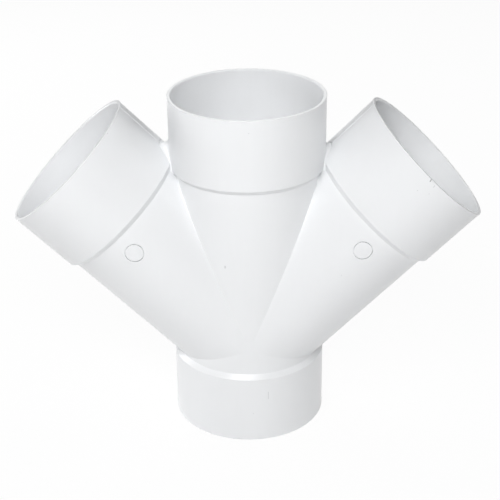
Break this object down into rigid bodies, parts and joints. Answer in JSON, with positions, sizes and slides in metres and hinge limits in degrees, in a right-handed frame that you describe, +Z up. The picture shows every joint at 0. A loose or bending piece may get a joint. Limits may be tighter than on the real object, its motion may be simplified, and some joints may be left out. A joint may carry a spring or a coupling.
{
  "type": "double lateral wye pipe fitting",
  "caption": "Moulded drain fitting: a straight run with equal slanted branches on both sides, each end an open hub with a shoulder.",
  "frame": {"origin": "centre of the inlet hub's rim face, at the bottom of the run", "axes": "+Z up the run towards its outlet; the branches lean out along +X and -X in the XZ plane; -Y is the side with the two ejector pin marks"},
  "size_m": [0.3402, 0.1132, 0.2538],
  "materials": {
    "white_pvc": "satin, moulded"
  },
  "bodies": {
    "root": {"double_wye": "white_pvc"}
  },
  "joints": []
}
